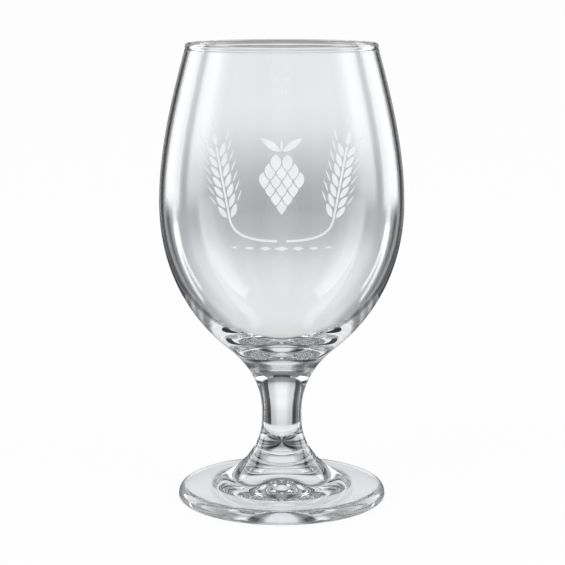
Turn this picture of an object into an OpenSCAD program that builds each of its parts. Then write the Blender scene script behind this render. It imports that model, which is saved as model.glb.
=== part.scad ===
// Stemmed beer glass: a blown bowl, a pressed stem and a pressed foot, fused end to end,
// with a white enamel print of barley ears and a hop cone on the front of the bowl.
// Millimetres, +Z up, origin at the centre of the foot on the table. The print faces -Y.

/* [Bowl] */
// Height of the bowl, from its seam with the stem to the top of the rim
bowl_h = 123; // [110:1:140]
// Outer diameter at the rim, just under the bead
rim_d = 67.8; // [60:0.2:76]
// Inward lean of the wall at the rim, in degrees
rim_lean = 15; // [8:1:20]
// Outer diameter at the widest girth
belly_d = 87.3; // [80:0.1:96]
// Height of the widest girth above the bowl's seam
belly_up = 66.3; // [58:0.1:76]
// Outer diameter where the round underside turns into the flare of the stem
neck_d = 39.5; // [34:0.5:44]
// Height of that turn above the bowl's seam
neck_up = 14.3; // [12:0.1:17]
// Slope of the outline at that turn, in degrees above level
neck_slope = 39.3; // [34:0.1:46]
// Thickness of the wall, from the rim to the widest girth
wall_t = 2; // [1.4:0.1:2.6]
// How far the fire-polished bead stands proud of each side of the wall
bead_swell = 0.2; // [0.1:0.05:0.5]
// Height of the lowest point inside, above the bowl's seam
floor_up = 13.5; // [13:0.5:20]

/* [Stem] */
// Length of the stem between its two seams
stem_h = 20; // [15:0.5:30]
// Diameter at the narrowest point
waist_d = 14.4; // [11:0.1:18]
// Height of the narrowest point above the stem's lower seam
waist_up = 6.7; // [4:0.1:12]

/* [Foot] */
// Height of the foot, from the table to its seam with the stem
foot_h = 22; // [19:0.5:27]
// Diameter of the foot
foot_d = 75.3; // [66:0.1:88]
// Diameter where the flare runs out onto the flatter top of the foot
toe_d = 53; // [44:0.5:58]
// Height of the foot's top there
toe_h = 5.9; // [5:0.1:7]
// Fall of the foot's top towards its edge, in degrees
top_slope = 4.8; // [1:0.1:6]
// How far the rounding of the edge reaches in from the rim of the foot
edge_round = 2.5; // [1.5:0.1:3.5]
// Height of the widest point of the edge above the table
edge_up = 1.6; // [1.2:0.1:2.4]
// Width of the flat ring that the foot rests on
rest_w = 2; // [1.5:0.5:5]
// Height of the hollow under the foot, at its middle
hollow_h = 4.2; // [3:0.1:5]
// Diameter of the steeper rise in the middle of the hollow
rise_d = 30; // [24:1:38]
// Height of the shallow dish round that rise
dish_h = 0.8; // [0.4:0.1:1.2]

/* [Print] */
// Thickness of the enamel
print_t = 0.08; // [0.05:0.01:0.2]
// Clear line between neighbouring shapes of the print
print_gap = 0.4; // [0.3:0.05:0.6]
// Height of the stalks' lowest point above the bowl's seam
print_up = 59; // [54:0.5:66]
// Distance between the feet of the two ears, measured round the bowl
ear_spread = 36; // [30:1:44]
// Height of an ear's foot above the lowest point of the stalks
ear_up = 7.5; // [6:0.5:12]
// Outward lean of the ears, in degrees
ear_lean = 12; // [4:1:20]
// Pairs of kernels on one ear
kernel_pairs = 7; // [5:1:9]
// Distance from one pair of kernels to the next
kernel_step = 3.4; // [3:0.1:4]
// Length of one barley kernel
kernel_l = 5.2; // [4:0.1:6]
// Width of one barley kernel
kernel_w = 1.9; // [1.4:0.1:2.1]
// Angle between a kernel and its stalk, in degrees
kernel_tilt = 33; // [26:1:38]
// Length of one awn
awn_l = 4.5; // [3:0.5:8]
// Width of one awn
awn_w = 0.5; // [0.3:0.05:0.7]
// Width of a stalk
stalk_w = 0.8; // [0.4:0.1:1.2]
// Height of the hop cone
hop_h = 20; // [16:0.5:24]
// Width of the hop cone
hop_w = 17; // [12:0.2:20]
// Rows of scales on the hop cone
hop_rows = 6; // [5:1:8]
// Width of one scale
hop_scale_w = 3.9; // [2.8:0.1:4.6]
// Height of the hop cone's top above the lowest point of the stalks
hop_up = 29; // [25:0.5:32]
// Length of each of the two leaves above the cone
hop_leaf_l = 8; // [5:0.5:9]
// Lozenges in the border under the ears
lozenge_count = 7; // [3:2:11]
// Length of the middle lozenge
lozenge_l = 5; // [3:0.1:6]
// Height of the middle lozenge
lozenge_w = 1.6; // [0.8:0.1:2]
// Space between the border and the stalks
border_gap = 2.6; // [1.5:0.1:4]

/* [Hidden] */
$fn = 96;

// Cuts run past what they cut by this much
overrun = 1;
// Handle that makes a cubic curve follow a quarter of an ellipse
round_share = 0.5523;
// Steps on each curve
long_steps = 24;
short_steps = 16;
round_steps = 8;

glass_tint = [0.86, 0.89, 0.91, 0.35];
enamel_tint = [0.96, 0.96, 0.97];

// Heights of the seams, and of the whole glass
low_seam_z = foot_h;
high_seam_z = low_seam_z + stem_h;
glass_h = high_seam_z + bowl_h;

// The wall leans at the rim, so it is wider there along the level
rim_wall = wall_t / cos(rim_lean);
bead_r = rim_wall / 2 + bead_swell;
lip_z = glass_h - bead_r;

// Points of the outside, from the table to the rim, as [radius, height]
shoulder_r = foot_d / 2 - edge_round;
rest_pt = [shoulder_r, 0];
edge_pt = [foot_d / 2, edge_up];
shoulder_pt = [shoulder_r, toe_h - (shoulder_r - toe_d / 2) * tan(top_slope)];
toe_pt = [toe_d / 2, toe_h];
waist_pt = [waist_d / 2, low_seam_z + waist_up];
neck_pt = [neck_d / 2, high_seam_z + neck_up];
belly_pt = [belly_d / 2, high_seam_z + belly_up];
rim_pt = [rim_d / 2, lip_z];

// Directions of the outline, going up, where it isn't upright
toe_dir = [-cos(top_slope), sin(top_slope)];
neck_dir = [cos(neck_slope), sin(neck_slope)];
rim_dir = [-sin(rim_lean), cos(rim_lean)];

// Rise of the outline between those points, which the curves' handles follow
foot_rise = waist_pt.y - toe_pt.y;
flare_rise = neck_pt.y - waist_pt.y;
lower_rise = belly_pt.y - neck_pt.y;
upper_rise = rim_pt.y - belly_pt.y;

// Each handle as a share of the rise of its curve
toe_handle_share = 0.236;
waist_low_share = 0.565;
waist_top_share = 0.173;
neck_low_share = 0.645;
neck_top_share = 0.333;
belly_low_share = 0.462;
belly_top_share = 0.38;
rim_handle_share = 0.247;

// Inside of the bowl, from its floor to the mouth
floor_pt = [0, high_seam_z + floor_up];
girth_pt = [belly_pt.x - wall_t, belly_pt.y];
mouth_pt = [rim_pt.x - rim_wall, lip_z];
cavity_rise = girth_pt.y - floor_pt.y;
floor_reach_share = 0.5;
girth_low_share = 0.6;

// Hollow under the foot: a shallow dish, with a steeper rise in its middle
hollow_r = shoulder_r - rest_w;
rise_pt = [rise_d / 2, dish_h];
dish_reach = hollow_r - rise_pt.x;
dish_handle_share = 0.333;
dish_edge_share = 0.37;
dish_slope_share = 0.9;
rise_handle_share = 0.36;
dish_dir = [-1, dish_h * dish_slope_share / dish_reach];

// One point of a cubic curve from p0 to p3, with handles at p1 and p2
function cubic(t, p0, p1, p2, p3) =
    pow(1 - t, 3) * p0 + 3 * pow(1 - t, 2) * t * p1 + 3 * (1 - t) * t * t * p2 + pow(t, 3) * p3;

// Points of a curve that leaves a along out_handle and meets b with in_handle, without b itself
function span(a, out_handle, in_handle, b, steps) =
    [for (i = [0:steps - 1]) cubic(i / steps, a, a + out_handle, b + in_handle, b)];

function reversed(list) = [for (i = [len(list) - 1:-1:0]) list[i]];

// Outside of the foot and the stem, from the table up to the neck
stem_side = concat(
    span(rest_pt, [edge_round, 0] * round_share,
         [0, -edge_pt.y] * round_share, edge_pt, round_steps),
    span(edge_pt, [0, shoulder_pt.y - edge_pt.y] * round_share,
         -toe_dir * edge_round * round_share, shoulder_pt, round_steps),
    [shoulder_pt],
    span(toe_pt, toe_dir * foot_rise * toe_handle_share,
         [0, -foot_rise * waist_low_share], waist_pt, long_steps),
    span(waist_pt, [0, flare_rise * waist_top_share],
         -neck_dir * flare_rise * neck_low_share, neck_pt, long_steps)
);

// Outside of the bowl, from the neck up to the rim
bowl_side = concat(
    span(neck_pt, neck_dir * lower_rise * neck_top_share,
         [0, -lower_rise * belly_low_share], belly_pt, long_steps),
    span(belly_pt, [0, upper_rise * belly_top_share],
         -rim_dir * upper_rise * rim_handle_share, rim_pt, long_steps),
    [rim_pt]
);

// Inside of the bowl, from the middle of its floor up to the mouth
cavity_side = concat(
    span(floor_pt, [girth_pt.x * floor_reach_share, 0],
         [0, -cavity_rise * girth_low_share], girth_pt, long_steps),
    span(girth_pt, [0, upper_rise * belly_top_share],
         -rim_dir * upper_rise * rim_handle_share, mouth_pt, long_steps),
    [mouth_pt]
);

// Hollow under the foot, from its edge on the resting ring in to the middle
hollow_side = concat(
    span([hollow_r, 0], [-dish_reach * dish_handle_share, dish_h * dish_edge_share],
         -dish_dir * dish_reach * dish_handle_share, rise_pt, round_steps),
    span(rise_pt, dish_dir * rise_pt.x * rise_handle_share,
         [rise_pt.x * rise_handle_share, 0], [0, hollow_h], short_steps),
    [[0, hollow_h]]
);

// Half section of the glass between two heights, as if it had no hollows
module solid_band(low_z, high_z) {
    intersection() {
        polygon(concat([[0, 0]], stem_side, bowl_side, [[0, lip_z]]));
        translate([0, low_z]) square([belly_d + foot_d, high_z - low_z]);
    }
}

module bowl_section() {
    difference() {
        solid_band(high_seam_z, lip_z);
        polygon(concat(cavity_side, [[mouth_pt.x, lip_z + overrun], [0, lip_z + overrun]]));
    }
    translate([rim_pt.x - rim_wall / 2, lip_z]) circle(r = bead_r);
}

module bowl() {
    color(glass_tint) rotate_extrude() bowl_section();
}

module stem() {
    color(glass_tint) rotate_extrude() solid_band(low_seam_z, high_seam_z);
}

module foot() {
    color(glass_tint) rotate_extrude() difference() {
        solid_band(0, low_seam_z);
        polygon(concat([[0, -overrun], [hollow_r, -overrun]], hollow_side));
    }
}

// The print is laid out flat, as [distance round the bowl, height], then wrapped onto the bowl
print_z = high_seam_z + print_up;
wrap_r = belly_d / 2;
degrees_per_length = 180 / (PI * wrap_r);
leaf_steps = 8;
leaf_girth_share = 0.9;

function wrap(p) = [wrap_r * sin(p.x * degrees_per_length), p.y];
function turn(p, a) = [p.x * cos(a) - p.y * sin(a), p.x * sin(a) + p.y * cos(a)];

// Half width of a leaf at the share t of its length, as a share of its whole width
function leaf_half(t) = let (u = pow(t, leaf_girth_share)) 2 * u * (1 - u);

// Pointed oval of length l and width w that leaves p at the angle a
function leaf(p, l, w, a) =
    let (times = [for (i = [0:leaf_steps]) i / leaf_steps],
         right = [for (t = times) [l * t, -w * leaf_half(t)]],
         left = [for (i = [leaf_steps - 1:-1:1]) [l * times[i], w * leaf_half(times[i])]])
    [for (q = concat(right, left)) p + turn(q, a)];

module flat_shape(points) {
    polygon([for (p = points) wrap(p)]);
}

// Front half of a skin of enamel on the outside of the bowl
module enamel_skin() {
    rotate_extrude(angle = 180, start = 180)
        polygon(concat([for (p = bowl_side) p + [print_t, 0]], reversed(bowl_side)));
}

module enamel() {
    color(enamel_tint) intersection() {
        enamel_skin();
        rotate([90, 0, 0]) linear_extrude(wrap_r + overrun) children();
    }
}

// The right stalk runs out from the middle and turns up into the ear, which is straight
ear_angle = 90 - ear_lean;
ear_l = kernel_pairs * kernel_step;
ear_foot = [ear_spread / 2, print_z + ear_up];
ear_tip = ear_foot + turn([ear_l, 0], ear_angle);
stalk_start_share = 0.08;
stalk_out_share = 0.7;
stalk_in_share = 0.6;
stalk_start = [ear_foot.x * stalk_start_share, print_z];

module stalk() {
    bend = span(stalk_start, [ear_foot.x * stalk_out_share, 0],
                turn([-ear_up * stalk_in_share, 0], ear_angle), ear_foot, long_steps);
    line = concat(bend, [ear_foot, ear_tip]);
    last = len(line) - 1;
    sides = [for (i = [0:last])
        let (v = line[min(i + 1, last)] - line[max(i - 1, 0)])
        turn([0, stalk_w / 2], atan2(v.y, v.x))];
    flat_shape(concat([for (i = [0:last]) line[i] - sides[i]],
                      [for (i = [last:-1:0]) line[i] + sides[i]]));
}

// A kernel that leaves root at the angle a, with its awn beyond it
module kernel_and_awn(root, a) {
    flat_shape(leaf(root, kernel_l, kernel_w, a));
    flat_shape(leaf(root + turn([kernel_l + print_gap, 0], a), awn_l, awn_w, a));
}

module barley_ear() {
    stalk();
    for (i = [0:kernel_pairs - 1], side = [-1, 1])
        kernel_and_awn(ear_foot + turn([i * kernel_step, side * (stalk_w / 2 + print_gap)], ear_angle),
                       ear_angle + side * kernel_tilt);
    kernel_and_awn(ear_tip + turn([print_gap, 0], ear_angle), ear_angle);
}

module print_right_ear() {
    enamel() barley_ear();
}

module print_left_ear() {
    enamel() mirror([1, 0]) barley_ear();
}

// The hop cone hangs between the ears, point downwards, under two leaves and a stalk
hop_top_z = print_z + hop_up;
hop_row_h = hop_h / (hop_rows + 1);
hop_scale_l_share = 2;
hop_girth_share = 0.6;
hop_leaf_w_share = 0.3;
hop_leaf_tilt = 34;
hop_stalk_share = 0.5;
hop_side_scales = 3;

// How far from the middle a scale may stand at the share t of the cone's height, from the top
function hop_half(t) = (hop_w - hop_scale_w) / 2 * sin(180 * pow(t, hop_girth_share));

// The scales of one row, each drawn larger all round by grow
module hop_scales(row, grow) {
    half = hop_half((row + 1) / (hop_rows + 1));
    for (i = [-hop_side_scales:hop_side_scales]) {
        middle = (i + (hop_rows - row - 1) % 2 / 2) * hop_scale_w;
        if (abs(middle) <= half)
            flat_shape(leaf([middle, hop_top_z - row * hop_row_h + grow],
                            hop_row_h * hop_scale_l_share + 2 * grow,
                            hop_scale_w - print_gap + 2 * grow, -90));
    }
}

module hop_cone() {
    for (row = [0:hop_rows - 1]) difference() {
        hop_scales(row, 0);
        for (above = [0:1:row - 1]) hop_scales(above, print_gap);
    }
    stalk_root = [0, hop_top_z + 2 * print_gap];
    flat_shape(leaf(stalk_root, hop_leaf_l * hop_stalk_share, stalk_w, 90));
    for (side = [0, 1]) mirror([side, 0])
        flat_shape(leaf(stalk_root + [print_gap, 0], hop_leaf_l, hop_leaf_l * hop_leaf_w_share, hop_leaf_tilt));
}

module print_hop_cone() {
    enamel() hop_cone();
}

// Border of lozenges under the stalks, the middle one the largest
border_z = print_z - border_gap;
border_fall_share = 0.45;

module border() {
    middle = (lozenge_count - 1) / 2;
    for (i = [0:lozenge_count - 1]) {
        size_share = 1 - border_fall_share * abs(i - middle) / middle;
        half = [lozenge_l, lozenge_w] * size_share / 2;
        at = [(i - middle) * (lozenge_l + print_gap), border_z];
        flat_shape([at - [half.x, 0], at - [0, half.y], at + [half.x, 0], at + [0, half.y]]);
    }
}

module print_border() {
    enamel() border();
}

bowl();
stem();
foot();
print_left_ear();
print_right_ear();
print_hop_cone();
print_border();
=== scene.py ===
import math

import bmesh
import bpy
from mathutils import Matrix, Vector


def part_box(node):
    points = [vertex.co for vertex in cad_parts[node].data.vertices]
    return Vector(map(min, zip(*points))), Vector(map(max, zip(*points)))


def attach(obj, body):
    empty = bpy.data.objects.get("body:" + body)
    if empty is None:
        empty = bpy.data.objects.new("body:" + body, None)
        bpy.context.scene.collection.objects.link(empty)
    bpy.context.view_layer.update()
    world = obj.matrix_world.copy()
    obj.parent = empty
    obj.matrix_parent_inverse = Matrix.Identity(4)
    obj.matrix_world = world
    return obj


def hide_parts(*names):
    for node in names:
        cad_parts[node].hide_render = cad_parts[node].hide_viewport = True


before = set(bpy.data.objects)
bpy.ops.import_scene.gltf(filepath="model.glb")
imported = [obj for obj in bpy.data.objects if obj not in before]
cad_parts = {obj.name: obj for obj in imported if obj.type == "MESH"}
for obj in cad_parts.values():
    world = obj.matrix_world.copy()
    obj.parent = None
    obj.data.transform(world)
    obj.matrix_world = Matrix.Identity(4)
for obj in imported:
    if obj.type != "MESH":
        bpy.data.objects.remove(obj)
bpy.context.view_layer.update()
print("frame loaded")

mm = 0.001

# The camera stands where the photograph was taken from, a little to the right of the glass.
# Lengths in this file are in millimetres and angles in degrees, and handles are shares.
cameraSpec = {
    "distance": 638.7,
    "height": 190.7,
    "aside": 0.28,
    "pitch": 9.88,  # below level
    "lens": 114.85,
    "farClip": 60000,
}


def makeCamera(spec):
    data = bpy.data.cameras.new("camera")
    data.lens = spec["lens"]
    data.clip_end = spec["farClip"] * mm
    camera = bpy.data.objects.new("camera", data)
    camera.location = Vector((spec["aside"], -spec["distance"], spec["height"])) * mm
    camera.rotation_euler = (math.radians(90 - spec["pitch"]), 0, 0)
    bpy.context.collection.objects.link(camera)
    bpy.context.scene.camera = camera


makeCamera(cameraSpec)
print("camera made")

# Outline of the glass, as (radius, height)


def cubicPoint(t, a, b, c, d):
    s = 1 - t
    return a * s ** 3 + b * (3 * s * s * t) + c * (3 * s * t * t) + d * t ** 3


def span(start, outHandle, inHandle, end, steps):
    return [cubicPoint(i / steps, start, start + outHandle, end + inHandle, end)
            for i in range(steps)]


def slopeDirection(degrees):
    return Vector((math.cos(math.radians(degrees)), math.sin(math.radians(degrees))))


roundShare = 0.5523  # handle that makes a cubic curve follow a quarter of an ellipse
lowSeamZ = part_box("foot")[1].z / mm
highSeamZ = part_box("stem")[1].z / mm
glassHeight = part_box("bowl")[1].z / mm
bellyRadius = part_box("bowl")[1].x / mm
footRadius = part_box("foot")[1].x / mm

footSpec = {
    "toeRadius": 26.5,  # where the flare runs out onto the flatter top
    "toeHeight": 5.9,
    "topSlope": 4.8,
    "edgeRound": 2.5,
    "edgeUp": 1.6,
    "restWidth": 2,
    "hollowHeight": 4.2,
    "riseRadius": 15,  # the hollow is a shallow dish with a steeper rise in its middle
    "dishHeight": 0.8,
    "toeHandle": 0.236,  # handles as shares of the rise of their curve
    "waistHandle": 0.565,
    "riseHandle": 0.36,
    "dishHandle": 0.333,
    "dishEdge": 0.37,
    "dishSlope": 0.9,
}

stemSpec = {
    "waistRadius": 7.2,
    "waistUp": 6.7,
    "waistHandle": 0.173,
    "neckHandle": 0.645,
}

bowlSpec = {
    "neckRadius": 19.75,
    "neckUp": 14.3,
    "neckSlope": 39.3,
    "bellyUp": 66.3,
    "rimRadius": 33.9,
    "rimLean": 15,
    "wall": 2,
    "beadSwell": 0.2,
    "floorUp": 13.5,
    "neckHandle": 0.333,
    "bellyLowHandle": 0.462,
    "bellyTopHandle": 0.38,
    "rimHandle": 0.247,
    "floorReach": 0.5,
    "girthHandle": 0.6,
    "beadBlend": 0.976,  # share of the upper wall after which it swells into the bead
    "beadFrom": -35,  # where the outer wall meets the bead, and where the inner wall does
    "beadTo": 205,
    "beadHandle": 0.4,
}

curveSteps = {"long": 44, "round": 10, "bead": 18}


def footOutline(spec):
    rest = Vector((footRadius - spec["edgeRound"], 0))
    edge = Vector((footRadius, spec["edgeUp"]))
    toe = Vector((spec["toeRadius"], spec["toeHeight"]))
    downSlope = slopeDirection(-spec["topSlope"])
    shoulder = toe + downSlope * ((rest.x - toe.x) / downSlope.x)
    hollowRadius = rest.x - spec["restWidth"]
    hollowTop = Vector((0, spec["hollowHeight"]))
    hollowEdge = Vector((hollowRadius, 0))
    riseFoot = Vector((spec["riseRadius"], spec["dishHeight"]))
    dishReach = hollowRadius - riseFoot.x
    dishFall = Vector((1, -riseFoot.y * spec["dishSlope"] / dishReach))
    points = span(hollowTop, Vector((riseFoot.x * spec["riseHandle"], 0)),
                  dishFall * (-riseFoot.x * spec["riseHandle"]), riseFoot, curveSteps["long"])
    points += span(riseFoot, dishFall * (dishReach * spec["dishHandle"]),
                   Vector((-dishReach * spec["dishHandle"], riseFoot.y * spec["dishEdge"])),
                   hollowEdge, curveSteps["round"])
    points += [hollowEdge]
    points += span(rest, Vector((spec["edgeRound"], 0)) * roundShare,
                   Vector((0, -edge.y)) * roundShare, edge, curveSteps["round"])
    points += span(edge, Vector((0, shoulder.y - edge.y)) * roundShare,
                   downSlope * (spec["edgeRound"] * roundShare), shoulder, curveSteps["round"])
    points += span(shoulder, Vector((0, 0)), Vector((0, 0)), toe, curveSteps["round"])
    waist = Vector((stemSpec["waistRadius"], lowSeamZ + stemSpec["waistUp"]))
    rise = waist.y - toe.y
    points += span(toe, -downSlope * (rise * spec["toeHandle"]),
                   Vector((0, -rise * spec["waistHandle"])), waist, curveSteps["long"])
    return points


def stemOutline(spec):
    waist = Vector((spec["waistRadius"], lowSeamZ + spec["waistUp"]))
    neck = Vector((bowlSpec["neckRadius"], highSeamZ + bowlSpec["neckUp"]))
    rise = neck.y - waist.y
    return span(waist, Vector((0, rise * spec["waistHandle"])),
                slopeDirection(bowlSpec["neckSlope"]) * (-rise * spec["neckHandle"]), neck,
                curveSteps["long"])


def upperWall(spec, girth, mouth):
    rise = mouth.y - girth.y
    lean = slopeDirection(90 + spec["rimLean"])
    lowHandle = girth + Vector((0, rise * spec["bellyTopHandle"]))
    highHandle = mouth - lean * (rise * spec["rimHandle"])
    steps = curveSteps["long"]
    return [cubicPoint(spec["beadBlend"] * i / steps, girth, lowHandle, highHandle, mouth)
            for i in range(steps + 1)]


def beadSide(spec, fromPoint, fromDirection, toPoint, toDirection):
    reach = (toPoint - fromPoint).length * spec["beadHandle"]
    return span(fromPoint, fromDirection.normalized() * reach,
                toDirection.normalized() * -reach, toPoint, curveSteps["round"])


def bowlOutline(spec):
    neck = Vector((spec["neckRadius"], highSeamZ + spec["neckUp"]))
    belly = Vector((bellyRadius, highSeamZ + spec["bellyUp"]))
    rise = belly.y - neck.y
    points = span(neck, slopeDirection(spec["neckSlope"]) * (rise * spec["neckHandle"]),
                  Vector((0, -rise * spec["bellyLowHandle"])), belly, curveSteps["long"])
    rimWall = spec["wall"] / math.cos(math.radians(spec["rimLean"]))
    beadRadius = rimWall / 2 + spec["beadSwell"]
    lipZ = glassHeight - beadRadius
    outer = upperWall(spec, belly, Vector((spec["rimRadius"], lipZ)))
    girth = Vector((belly.x - spec["wall"], belly.y))
    inner = upperWall(spec, girth, Vector((spec["rimRadius"] - rimWall, lipZ)))
    beadMiddle = Vector((spec["rimRadius"] - rimWall / 2, lipZ))
    angles = [spec["beadFrom"] + (spec["beadTo"] - spec["beadFrom"]) * i / curveSteps["bead"]
              for i in range(curveSteps["bead"] + 1)]
    bead = [beadMiddle + slopeDirection(angle) * beadRadius for angle in angles]
    points += outer[:-1]
    points += beadSide(spec, outer[-1], outer[-1] - outer[-2],
                       bead[0], slopeDirection(angles[0] + 90))
    points += bead
    points += beadSide(spec, bead[-1], slopeDirection(angles[-1] + 90),
                       inner[-1], inner[-2] - inner[-1])[1:]
    points += reversed(inner[1:])
    floor = Vector((0, highSeamZ + spec["floorUp"]))
    depth = girth.y - floor.y
    points += span(girth, Vector((0, -depth * spec["girthHandle"])),
                   Vector((girth.x * spec["floorReach"], 0)), floor, curveSteps["long"])
    return points + [floor]


# Materials


# An input is linked if it is given a node or a socket, and set if it is given a value
def addNode(tree, kind, inputs=None, **settings):
    node = tree.nodes.new(kind)
    for key, value in settings.items():
        setattr(node, key, value)
    for key, value in (inputs or {}).items():
        if isinstance(value, bpy.types.Node):
            value = value.outputs[0]
        if isinstance(value, bpy.types.NodeSocket):
            tree.links.new(value, node.inputs[key])
        else:
            node.inputs[key].default_value = value
    return node


def hexColour(code):
    channels = [int(code[i:i + 2], 16) / 255 for i in (1, 3, 5)]
    linear = [c / 12.92 if c <= 0.04045 else ((c + 0.055) / 1.055) ** 2.4 for c in channels]
    return (*linear, 1)


def grey(level):
    return (level, level, level, 1)


def newMaterial(name):
    material = bpy.data.materials.new(name)
    material.use_nodes = True
    material.node_tree.nodes.clear()
    return material, material.node_tree


# Light Path counts the surfaces that a ray has passed and those that have mirrored it
oneThickness = 2
bothWalls = 4
halfCount = 0.5  # tells two whole counts apart

# Clear soda-lime glass, blown and fire-polished: colourless and mirror-smooth, with the faint
# waves that blowing leaves
glassFinish = {
    "colour": "#fefefe",
    "ior": 1.52,
    "waveLength": 22,
    "waveHeight": 0.006,
    "waveDetail": 1,
}


def clearGlass(finish):
    material, tree = newMaterial("clearSodaLimeGlass")
    place = addNode(tree, "ShaderNodeTexCoord").outputs["Object"]
    waves = addNode(tree, "ShaderNodeTexNoise",
                    {"Vector": place, "Scale": 1 / (finish["waveLength"] * mm),
                     "Detail": finish["waveDetail"]})
    bump = addNode(tree, "ShaderNodeBump",
                   {"Strength": 1, "Distance": finish["waveHeight"] * mm,
                    "Height": waves.outputs["Fac"]})
    shader = addNode(tree, "ShaderNodeBsdfPrincipled",
                     {"Base Color": hexColour(finish["colour"]), "Roughness": 0,
                      "IOR": finish["ior"], "Transmission Weight": 1, "Normal": bump})
    addNode(tree, "ShaderNodeOutputMaterial", {"Surface": shader})
    return material


# Where two parts are fused hot there is no surface between them, so nothing is seen there
def fusedSeam():
    material, tree = newMaterial("fusedSeam")
    shader = addNode(tree, "ShaderNodeBsdfTransparent")
    addNode(tree, "ShaderNodeOutputMaterial", {"Surface": shader})
    return material


# Fired screen-printing enamel: a matt, slightly chalky white with fine specks and a faint
# unevenness from the mesh of the screen. Real specks are too fine to show, so these are coarser.
enamelFinish = {
    "colour": "#f4f4f5",
    "thinColour": "#e9eaec",
    "roughness": 0.55,
    "speckSize": 0.45,
    "speckDetail": 3,
    "speckHeight": 0.01,
    "patchSize": 6,
    "patchDetail": 2,
    "thinBelow": 0.15,  # where specks times patches are less, the enamel is at its thinnest
    "fullAbove": 0.4,
    "paintedBackGlowLevel": 0.5,  # painted glow: how strongly the enamel shines its own colour where it is seen through the glass
}


def whiteEnamel(finish):
    material, tree = newMaterial("firedWhiteEnamel")
    place = addNode(tree, "ShaderNodeTexCoord").outputs["Object"]
    specks = addNode(tree, "ShaderNodeTexNoise",
                     {"Vector": place, "Scale": 1 / (finish["speckSize"] * mm),
                      "Detail": finish["speckDetail"]})
    patches = addNode(tree, "ShaderNodeTexNoise",
                      {"Vector": place, "Scale": 1 / (finish["patchSize"] * mm),
                       "Detail": finish["patchDetail"]})
    both = addNode(tree, "ShaderNodeMath",
                   {0: specks.outputs["Fac"], 1: patches.outputs["Fac"]}, operation="MULTIPLY")
    cover = addNode(tree, "ShaderNodeMapRange",
                    {"Value": both, "From Min": finish["thinBelow"],
                     "From Max": finish["fullAbove"]})
    colour = addNode(tree, "ShaderNodeMixRGB",
                     {"Fac": cover, "Color1": hexColour(finish["thinColour"]),
                      "Color2": hexColour(finish["colour"])})
    bump = addNode(tree, "ShaderNodeBump",
                   {"Strength": 1, "Distance": finish["speckHeight"] * mm,
                    "Height": specks.outputs["Fac"]})
    # Painted glow: where a ray has come through the glass, the enamel emits its own colour, so that
    # its back, which faces the glass, looks lit
    path = addNode(tree, "ShaderNodeLightPath").outputs
    throughGlass = addNode(tree, "ShaderNodeMath",
                           {0: path["Transmission Depth"], 1: halfCount},
                           operation="GREATER_THAN")
    paintedBackGlow = addNode(tree, "ShaderNodeMath", {0: throughGlass, 1: finish["paintedBackGlowLevel"]},
                     operation="MULTIPLY")
    shader = addNode(tree, "ShaderNodeBsdfPrincipled",
                     {"Base Color": colour, "Roughness": finish["roughness"], "Normal": bump,
                      "Emission Color": colour, "Emission Strength": paintedBackGlow})
    addNode(tree, "ShaderNodeOutputMaterial", {"Surface": shader})
    return material


glassMaterial = clearGlass(glassFinish)
seamMaterial = fusedSeam()
enamelMaterial = whiteEnamel(enamelFinish)
print("materials made")

# Glass pieces: one outline is spun, then cut at the seams, so that the parts meet without a step

spinSpec = {"steps": 256, "mergeDistance": 0.0001, "cutTolerance": 0.000001}
seamIndex = 1  # the fused seam's place among a glass piece's materials


def spunGlass(spec):
    outline = footOutline(footSpec) + stemOutline(stemSpec) + bowlOutline(bowlSpec)
    body = bmesh.new()
    verts = [body.verts.new((p.x * mm, 0, p.y * mm)) for p in outline]
    edges = [body.edges.new(pair) for pair in zip(verts, verts[1:])]
    bmesh.ops.spin(body, geom=verts + edges, cent=(0, 0, 0), axis=(0, 0, 1), angle=math.tau,
                   steps=spec["steps"], use_merge=True)
    bmesh.ops.remove_doubles(body, verts=body.verts, dist=spec["mergeDistance"] * mm)
    bmesh.ops.recalc_face_normals(body, faces=body.faces)
    for face in body.faces:
        face.smooth = True
    return body


def allOf(part):
    return part.verts[:] + part.edges[:] + part.faces[:]


# Cuts a glass part level, drops what lies above (upward 1) or below (upward -1), and caps it
def cutAt(part, height, upward):
    cut = bmesh.ops.bisect_plane(part, geom=allOf(part), dist=spinSpec["cutTolerance"] * mm,
                                 plane_co=(0, 0, height * mm), plane_no=(0, 0, upward),
                                 clear_outer=True)
    rim = [item for item in cut["geom_cut"] if isinstance(item, bmesh.types.BMEdge)]
    for edge in rim:
        edge.smooth = False
    cap = bmesh.ops.holes_fill(part, edges=rim, sides=0)["faces"]
    fan = bmesh.ops.poke(part, faces=cap)["faces"]
    for face in fan:
        face.smooth = False
        face.material_index = seamIndex


def finishPiece(part, name, materials, node):
    mesh = bpy.data.meshes.new(name)
    part.to_mesh(mesh)
    part.free()
    for material in materials:
        mesh.materials.append(material)
    piece = bpy.data.objects.new(name, mesh)
    bpy.context.collection.objects.link(piece)
    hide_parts(node)
    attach(piece, "root")


def glassPiece(body, name, node, lowCut=None, highCut=None):
    part = body.copy()
    if lowCut is not None:
        cutAt(part, lowCut, -1)
    if highCut is not None:
        cutAt(part, highCut, 1)
    finishPiece(part, name, [glassMaterial, seamMaterial], node)


glassBody = spunGlass(spinSpec)
glassPiece(glassBody, "glassFoot", "foot", highCut=lowSeamZ)
glassPiece(glassBody, "glassStem", "stem", lowCut=lowSeamZ, highCut=highSeamZ)
glassPiece(glassBody, "glassBowl", "bowl", lowCut=highSeamZ)
glassBody.free()
print("glass made")

# The print: each CAD node's flat shapes, cut into cells and laid onto the smooth bowl

printSpec = {
    "thickness": 0.08,
    "sunk": 0.01,  # the enamel melts this far into the glass
    "cellWidth": 1,
    "cellHeight": 1.5,
    "sharpAngle": 35,
    "mergeDistance": 0.001,
    "cutTolerance": 0.0001,
}


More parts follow.
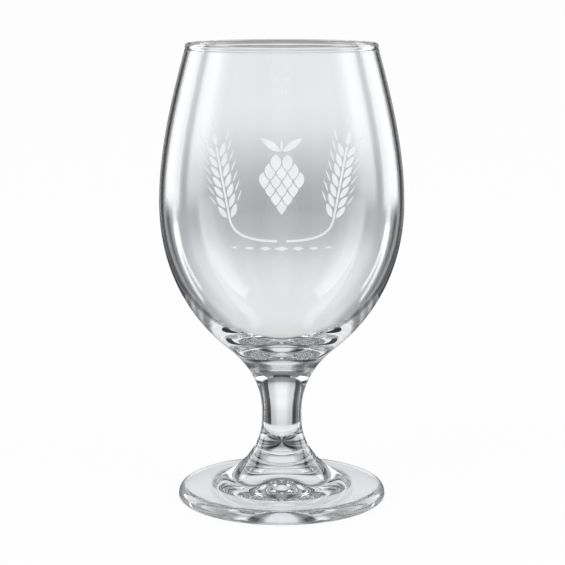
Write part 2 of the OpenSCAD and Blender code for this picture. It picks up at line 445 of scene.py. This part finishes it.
def outerRadiusAt(outline, z):
    for a, b in zip(outline, outline[1:]):
        if min(a.y, b.y) <= z <= max(a.y, b.y) and a.y != b.y:
            return a.x + (b.x - a.x) * (z - a.y) / (b.y - a.y)
    return outline[-1].x


def cutInCells(part, node):
    low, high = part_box(node)
    for axis, cell in ((0, printSpec["cellWidth"] * mm), (2, printSpec["cellHeight"] * mm)):
        normal = Vector((0, 0, 0))
        normal[axis] = 1
        for i in range(1, int((high[axis] - low[axis]) / cell) + 1):
            bmesh.ops.bisect_plane(part, geom=allOf(part), dist=printSpec["cutTolerance"] * mm,
                                   plane_co=normal * (low[axis] + i * cell), plane_no=normal)


def enamelPiece(name, node, outline):
    part = bmesh.new()
    part.from_mesh(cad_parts[node].data)
    bmesh.ops.remove_doubles(part, verts=part.verts, dist=printSpec["mergeDistance"] * mm)
    cutInCells(part, node)
    for vert in part.verts:
        radius = math.hypot(vert.co.x, vert.co.y)
        smooth = outerRadiusAt(outline, vert.co.z / mm)
        front = radius / mm > smooth + printSpec["thickness"] / 2
        wanted = smooth + (printSpec["thickness"] if front else -printSpec["sunk"])
        vert.co.x *= wanted * mm / radius
        vert.co.y *= wanted * mm / radius
    for face in part.faces:
        face.smooth = True
    for edge in part.edges:
        edge.smooth = edge.calc_face_angle(math.pi) < math.radians(printSpec["sharpAngle"])
    finishPiece(part, name, [enamelMaterial], node)


outerWall = bowlOutline(bowlSpec)[:curveSteps["long"] * 2]  # neck to belly, belly to bead
for name, node in (("enamelLeftEar", "print_left_ear"), ("enamelRightEar", "print_right_ear"),
                   ("enamelHopCone", "print_hop_cone"), ("enamelBorder", "print_border")):
    enamelPiece(name, node, outerWall)
print("print made")

# Floor, light and background


def hideFrom(item, rays):
    for ray in rays:
        setattr(item, "visible_" + ray, False)


def stageSheet(name, sheet, material, hiddenFrom):
    mesh = bpy.data.meshes.new(name)
    sheet.to_mesh(mesh)
    sheet.free()
    mesh.materials.append(material)
    item = bpy.data.objects.new(name, mesh)
    hideFrom(item, hiddenFrom)
    bpy.context.collection.objects.link(item)


floorSpec = {"radius": 12000, "steps": 96, "shadowShare": 0.05, "colour": "#f4f4f4"}
raysInGlass = ("glossy", "transmission")
raysOutsideGlass = ("camera", "diffuse", "shadow")


def makeFloor(spec):
    material, tree = newMaterial("palePaper")
    path = addNode(tree, "ShaderNodeLightPath").outputs
    paper = addNode(tree, "ShaderNodeBsdfDiffuse", {"Color": hexColour(spec["colour"])})
    white = addNode(tree, "ShaderNodeEmission", {"Strength": 1})
    whiteShare = addNode(tree, "ShaderNodeMath",
                         {0: path["Is Camera Ray"], 1: 1 - spec["shadowShare"]},
                         operation="MULTIPLY")
    mix = addNode(tree, "ShaderNodeMixShader", {0: whiteShare, 1: paper, 2: white})
    addNode(tree, "ShaderNodeOutputMaterial", {"Surface": mix})
    sheet = bmesh.new()
    bmesh.ops.create_circle(sheet, cap_ends=True, segments=spec["steps"],
                            radius=spec["radius"] * mm)
    stageSheet("floor", sheet, material, raysInGlass)


# What the glass shows, by the rise of a ray above level and its fold, which is its turn from the
# nearest of the four sides. The bowl shows a backdrop that dims half way up, with a dark band low
# down and darker sheets at its sides. The solid stem and foot show a bright backdrop between black
# flags on a white table. Rays that are mirrored inside one thickness of glass see much of that
# darker, and those mirrored elsewhere see the dim room.
worldSpec = {
    "lightLevel": 0.75,
    "lowest": -90,
    "highest": 90,
    "widestFold": 45,
    "bandByRise": {-90: 0, -62: 0, -58: 1, -46: 1, -42: 0, 90: 0},
    "bandByFold": {0: 1, 20: 1, 26: 0, 45: 0},
    "bandColour": "#202021",
    "bowlByRise": {-90: "#f0f1f4", -37: "#f0f1f4", -20: "#f5f6f8", -14: "#f1f2f4",
                   -12.2: "#e9eaed", -11: "#dddfe2", -10.2: "#ccced2", -9: "#bbbdc1",
                   -7.4: "#b6b8bc", -6.4: "#c4c6ca", -5.6: "#d8dadd", -5: "#eaebee",
                   -4.2: "#f2f3f6", 0: "#f4f5f8", 40: "#f4f5f8", 55: "#a9abae", 70: "#6c6d70"},
    "sheetByFold": {0: "#c9cbcf", 14: "#c9cbcf", 17: "#5b5c5e", 45: "#5b5c5e"},
    "sheetShareByFold": {0: 0, 5: 0, 9: 1, 27: 1, 31: 0, 45: 0},
    "sheetShareByRise": {-90: 0, -36: 0, -29: 1, 90: 1},
    "stemByRise": {-90: "#6c6d70", -66: "#7b7c7f", -58: "#b4b5b8", -48: "#e6e8ec",
                   -35: "#fdfdff", -25: "#f0f1f4", -18: "#e0e2e6", -12: "#ebedf0",
                   -6: "#fcfcfe", 8: "#fdfdff", 16: "#f2f3f5", 21: "#e0e2e5", 26: "#939599",
                   40: "#a1a3a7", 60: "#6c6d70"},
    "flagByFold": {0: 1, 8: 0.97, 14: 0.76, 23: 0.66, 25: 0.07, 34: 0.07, 38: 0.25, 45: 0.22},
    "flagFoot": -21,
    "flagBlur": 3,
    "bounceByRise": {-90: "#959698", -66: "#959698", -58: "#b8babd", -45: "#c8cacd",
                     -30: "#d8dadd", -15: "#eeeff2", 0: "#eaecef", 12: "#e9ebee",
                     28: "#e6e8eb", 42: "#dadcdf", 54: "#939598", 66: "#5b5c5e"},
    "bounceShadeByFold": {0: 1, 9: 1, 13: 0.4, 17: 0.05, 27: 0.05, 30: 0.5, 36: 0.6, 41: 0.25,
                          45: 0.15},
    "bounceLiftByRise": {-90: 0, 6: 0, 14: 0.25, 90: 0.25},
    "roomByRise": {-90: "#7b7c7f", -60: "#909194", -25: "#a8a9ac", -16: "#606163",
                   -6: "#39393a", 0: "#4a4a4c", 4: "#505052", 8: "#bcbdc0", 22: "#c8c9cc",
                   28: "#808184", 60: "#808184"},
}


# Colours or grey levels that follow one value, from low to high
def shadesAlong(tree, value, low, high, shades):
    share = addNode(tree, "ShaderNodeMapRange",
                    {"Value": value, "From Min": low, "From Max": high})
    ramp = addNode(tree, "ShaderNodeValToRGB", {"Fac": share})
    stops = ramp.color_ramp.elements
    stops.remove(stops[1])
    for i, (place, shade) in enumerate(sorted(shades.items())):
        position = (place - low) / (high - low)
        stop = stops.new(position) if i else stops[0]
        stop.position = position
        stop.color = hexColour(shade) if isinstance(shade, str) else grey(shade)
    return ramp


def makeWorld(spec):
    world = bpy.data.worlds.new("studio")
    bpy.context.scene.world = world
    world.use_nodes = True
    tree = world.node_tree
    tree.nodes.clear()
    path = addNode(tree, "ShaderNodeLightPath").outputs
    direction = addNode(tree, "ShaderNodeTexCoord").outputs["Generated"]
    axes = addNode(tree, "ShaderNodeSeparateXYZ", {0: direction}).outputs
    lift = addNode(tree, "ShaderNodeMath", {0: axes["Z"]}, operation="ARCSINE")
    rise = addNode(tree, "ShaderNodeMath", {0: lift}, operation="DEGREES")
    bearing = addNode(tree, "ShaderNodeMath", {0: axes["Y"], 1: axes["X"]}, operation="ARCTAN2")
    turn = addNode(tree, "ShaderNodeMath", {0: bearing}, operation="DEGREES")
    fold = addNode(tree, "ShaderNodeMath", {0: turn, 1: spec["widestFold"]},
                   operation="PINGPONG")

    def byRise(shades):
        return shadesAlong(tree, rise, spec["lowest"], spec["highest"], shades)

    def byFold(shades):
        return shadesAlong(tree, fold, 0, spec["widestFold"], shades)

    bandShare = addNode(tree, "ShaderNodeMath",
                        {0: byRise(spec["bandByRise"]), 1: byFold(spec["bandByFold"])},
                        operation="MULTIPLY")
    backdrop = addNode(tree, "ShaderNodeMixRGB",
                       {"Fac": bandShare, "Color1": byRise(spec["bowlByRise"]),
                        "Color2": hexColour(spec["bandColour"])})
    sheetShare = addNode(tree, "ShaderNodeMath",
                         {0: byFold(spec["sheetShareByFold"]), 1: byRise(spec["sheetShareByRise"])},
                         operation="MULTIPLY")
    bowlView = addNode(tree, "ShaderNodeMixRGB",
                       {"Fac": sheetShare, "Color1": backdrop,
                        "Color2": byFold(spec["sheetByFold"])})
    stemColour = byRise(spec["stemByRise"])
    flagged = addNode(tree, "ShaderNodeMixRGB",
                      {"Fac": 1, "Color1": stemColour, "Color2": byFold(spec["flagByFold"])},
                      blend_type="MULTIPLY")
    aboveFlagFoot = addNode(tree, "ShaderNodeMapRange",
                            {"Value": rise, "From Min": spec["flagFoot"] - spec["flagBlur"] / 2,
                             "From Max": spec["flagFoot"] + spec["flagBlur"] / 2})
    stemView = addNode(tree, "ShaderNodeMixRGB",
                       {"Fac": aboveFlagFoot, "Color1": stemColour, "Color2": flagged})
    bounceShade = addNode(tree, "ShaderNodeMixRGB",
                          {"Fac": byRise(spec["bounceLiftByRise"]),
                           "Color1": byFold(spec["bounceShadeByFold"]), "Color2": grey(1)})
    bounceView = addNode(tree, "ShaderNodeMixRGB",
                         {"Fac": 1, "Color1": byRise(spec["bounceByRise"]),
                          "Color2": bounceShade},
                         blend_type="MULTIPLY")
    mirrored = addNode(tree, "ShaderNodeMath", {0: path["Glossy Depth"], 1: halfCount},
                       operation="GREATER_THAN")
    wallsView = addNode(tree, "ShaderNodeMixRGB",
                        {"Fac": mirrored, "Color1": bowlView,
                         "Color2": byRise(spec["roomByRise"])})
    solidView = addNode(tree, "ShaderNodeMixRGB",
                        {"Fac": mirrored, "Color1": stemView, "Color2": bounceView})
    throughSolid = addNode(tree, "ShaderNodeMath",
                           {0: path["Transmission Depth"], 1: oneThickness, 2: halfCount},
                           operation="COMPARE")
    glassView = addNode(tree, "ShaderNodeMixRGB",
                        {"Fac": throughSolid, "Color1": wallsView, "Color2": solidView})
    inGlass = addNode(tree, "ShaderNodeMath",
                      {0: path["Is Transmission Ray"], 1: path["Is Glossy Ray"]},
                      operation="MAXIMUM")
    indirect = addNode(tree, "ShaderNodeMixRGB",
                       {"Fac": inGlass, "Color1": grey(spec["lightLevel"]),
                        "Color2": glassView})
    seen = addNode(tree, "ShaderNodeMixRGB",
                   {"Fac": path["Is Camera Ray"], "Color1": indirect, "Color2": grey(1)})
    background = addNode(tree, "ShaderNodeBackground", {"Color": seen, "Strength": 1})
    addNode(tree, "ShaderNodeOutputWorld", {"Surface": background})


# Softboxes that only mirror in the glass, each at an angle round it from the camera, and a second
# one on the other side. Their strength goes by shares across, from the edge nearest the camera, and
# by shares up. It has other levels for rays that are mirrored once, or more often, inside one
# thickness of glass, and for those that the far wall mirrors.
softboxSpecs = [
    {"name": "stripBox", "angle": 123, "width": 480, "distance": 900, "low": -45, "high": 800,
     "level": 3.2, "solidLevel": 1.8, "deepLevel": 0.15, "farLevel": 0,
     "across": {0: 1, 1: 1},
     "up": {0: 0, 0.04: 0.25, 0.08: 0.85, 0.12: 1, 1: 1}},
    {"name": "sideBox", "angle": 79, "width": 600, "distance": 900, "low": 0, "high": 1500,
     "level": 2.5, "solidLevel": 1.2, "deepLevel": 0.15, "farLevel": 2.4,
     "across": {0: 0, 0.25: 0.35, 0.55: 1, 1: 1},
     "up": {0: 0, 0.03: 0.5, 0.07: 0.9, 0.12: 1, 1: 1}},
    {"name": "lowStrip", "angle": 118, "width": 120, "distance": 900, "low": -650, "high": 10,
     "level": 6.5, "solidLevel": 5, "deepLevel": 0.15, "farLevel": 0,
     "across": {0: 0, 0.25: 1, 0.75: 1, 1: 0},
     "up": {0: 0, 0.1: 0.55, 0.5: 0.65, 0.75: 1, 0.85: 1, 0.9: 0.5, 1: 0.2}},
]


def makeSoftbox(spec, side):
    name = spec["name"] + ("Right" if side > 0 else "Left")
    material, tree = newMaterial(name)
    place = addNode(tree, "ShaderNodeTexCoord").outputs["UV"]
    axes = addNode(tree, "ShaderNodeSeparateXYZ", {0: place}).outputs
    path = addNode(tree, "ShaderNodeLightPath").outputs
    throughSolid = addNode(tree, "ShaderNodeMath",
                           {0: path["Transmission Depth"], 1: oneThickness, 2: halfCount},
                           operation="COMPARE")
    offFarWall = addNode(tree, "ShaderNodeMath",
                         {0: path["Transmission Depth"], 1: bothWalls - halfCount},
                         operation="GREATER_THAN")
    mirrored = addNode(tree, "ShaderNodeMath", {0: path["Glossy Depth"], 1: halfCount},
                       operation="GREATER_THAN")
    mirroredAgain = addNode(tree, "ShaderNodeMath", {0: path["Glossy Depth"], 1: 1 + halfCount},
                            operation="GREATER_THAN")
    deep = addNode(tree, "ShaderNodeMath", {0: throughSolid, 1: mirroredAgain},
                   operation="MULTIPLY")
    level = spec["level"]
    for when, change in ((throughSolid, spec["solidLevel"] - spec["level"]),
                         (offFarWall, spec["farLevel"] - spec["level"]),
                         (deep, spec["deepLevel"] - spec["solidLevel"])):
        level = addNode(tree, "ShaderNodeMath", {0: when, 1: change, 2: level},
                        operation="MULTIPLY_ADD")
    shape = addNode(tree, "ShaderNodeMath",
                    {0: shadesAlong(tree, axes["X"], 0, 1, spec["across"]),
                     1: shadesAlong(tree, axes["Y"], 0, 1, spec["up"])},
                    operation="MULTIPLY")
    shaped = addNode(tree, "ShaderNodeMath", {0: shape, 1: level}, operation="MULTIPLY")
    strength = addNode(tree, "ShaderNodeMath", {0: shaped, 1: mirrored}, operation="MULTIPLY")
    light = addNode(tree, "ShaderNodeEmission", {"Strength": strength})
    clear = addNode(tree, "ShaderNodeBsdfTransparent")
    both = addNode(tree, "ShaderNodeAddShader", {0: clear, 1: light})
    addNode(tree, "ShaderNodeOutputMaterial", {"Surface": both})
    height = spec["high"] - spec["low"]
    middle = Vector((0, -spec["distance"], (spec["low"] + spec["high"]) / 2))
    standUp = Matrix.Rotation(math.radians(90), 3, "X")
    goRound = Matrix.Rotation(math.radians(spec["angle"]), 3, "Z")
    sheet = bmesh.new()
    sheet.loops.layers.uv.new("across")
    bmesh.ops.create_grid(sheet, x_segments=1, y_segments=1, size=0.5, calc_uvs=True)
    bmesh.ops.scale(sheet, verts=sheet.verts, vec=(spec["width"] * mm, height * mm, 1))
    bmesh.ops.rotate(sheet, verts=sheet.verts, matrix=standUp)
    bmesh.ops.translate(sheet, verts=sheet.verts, vec=middle * mm)
    bmesh.ops.rotate(sheet, verts=sheet.verts, matrix=goRound)
    bmesh.ops.scale(sheet, verts=sheet.verts, vec=(side, 1, 1))
    stageSheet(name, sheet, material, raysOutsideGlass)


# White cards that are seen through glass and nowhere else: a hoop level with the rim, through one
# thickness of glass, and a disc under the foot, through both walls of the bowl
cardSteps = 96
hoopSpec = {
    "name": "rimHoop",
    "surfaces": oneThickness,
    "radius": 100,
    "low": 112,
    "high": 205,
    "shades": {112: 0.22, 132: 0.26, 146: 0.38, 170: 0.4, 178: 0.54, 183: 1, 192: 1, 198: 0.76,
               205: 0.76},
}
discSpec = {"name": "tableDisc", "surfaces": bothWalls, "radius": 80, "down": 0.3, "shade": 0.88}


def cardMaterial(spec):
    material, tree = newMaterial(spec["name"] + "Card")
    path = addNode(tree, "ShaderNodeLightPath").outputs
    through = addNode(tree, "ShaderNodeMath",
                      {0: path["Transmission Depth"], 1: spec["surfaces"], 2: halfCount},
                      operation="COMPARE")
    unmirrored = addNode(tree, "ShaderNodeMath", {0: path["Glossy Depth"], 1: halfCount},
                         operation="LESS_THAN")
    seen = addNode(tree, "ShaderNodeMath", {0: through, 1: unmirrored}, operation="MULTIPLY")
    if "shades" in spec:
        place = addNode(tree, "ShaderNodeTexCoord").outputs["Object"]
        axes = addNode(tree, "ShaderNodeSeparateXYZ", {0: place}).outputs
        height = addNode(tree, "ShaderNodeMath", {0: axes["Z"], 1: mm}, operation="DIVIDE")
        colour = shadesAlong(tree, height, spec["low"], spec["high"], spec["shades"])
    else:
        colour = grey(spec["shade"])
    card = addNode(tree, "ShaderNodeEmission", {"Color": colour, "Strength": 1})
    clear = addNode(tree, "ShaderNodeBsdfTransparent")
    mix = addNode(tree, "ShaderNodeMixShader", {0: seen, 1: clear, 2: card})
    addNode(tree, "ShaderNodeOutputMaterial", {"Surface": mix})
    return material


def makeHoop(spec):
    sheet = bmesh.new()
    bmesh.ops.create_cone(sheet, cap_ends=False, segments=cardSteps, radius1=spec["radius"] * mm,
                          radius2=spec["radius"] * mm, depth=(spec["high"] - spec["low"]) * mm)
    middle = Vector((0, 0, (spec["low"] + spec["high"]) / 2))
    bmesh.ops.translate(sheet, verts=sheet.verts, vec=middle * mm)
    stageSheet(spec["name"], sheet, cardMaterial(spec), raysOutsideGlass)


def makeDisc(spec):
    sheet = bmesh.new()
    bmesh.ops.create_circle(sheet, cap_ends=True, segments=cardSteps, radius=spec["radius"] * mm)
    bmesh.ops.translate(sheet, verts=sheet.verts, vec=Vector((0, 0, -spec["down"])) * mm)
    stageSheet(spec["name"], sheet, cardMaterial(spec), raysOutsideGlass)


lampSpecs = [
    {"name": "keyLamp", "place": (-900, -900, 1100), "size": 600, "power": 5},
    {"name": "fillLamp", "place": (1000, -700, 900), "size": 600, "power": 4},
]


def makeLamp(spec):
    data = bpy.data.lights.new(spec["name"], "AREA")
    data.size = spec["size"] * mm
    data.energy = spec["power"]
    lamp = bpy.data.objects.new(spec["name"], data)
    lamp.location = Vector(spec["place"]) * mm
    aim = Vector((0, 0, glassHeight / 2)) * mm - lamp.location
    lamp.rotation_euler = aim.to_track_quat("-Z", "Y").to_euler()
    hideFrom(lamp, raysInGlass)
    bpy.context.collection.objects.link(lamp)


makeFloor(floorSpec)
makeWorld(worldSpec)
for softboxSpec in softboxSpecs:
    for side in (-1, 1):
        makeSoftbox(softboxSpec, side)
makeHoop(hoopSpec)
makeDisc(discSpec)
for lampSpec in lampSpecs:
    makeLamp(lampSpec)
print("stage made")

lightBounces = 32  # enough for rays that run round inside the glass

scene = bpy.context.scene
scene.view_settings.view_transform = "Standard"
scene.cycles.max_bounces = lightBounces
scene.cycles.transmission_bounces = lightBounces
scene.cycles.glossy_bounces = lightBounces
scene.cycles.transparent_max_bounces = lightBounces
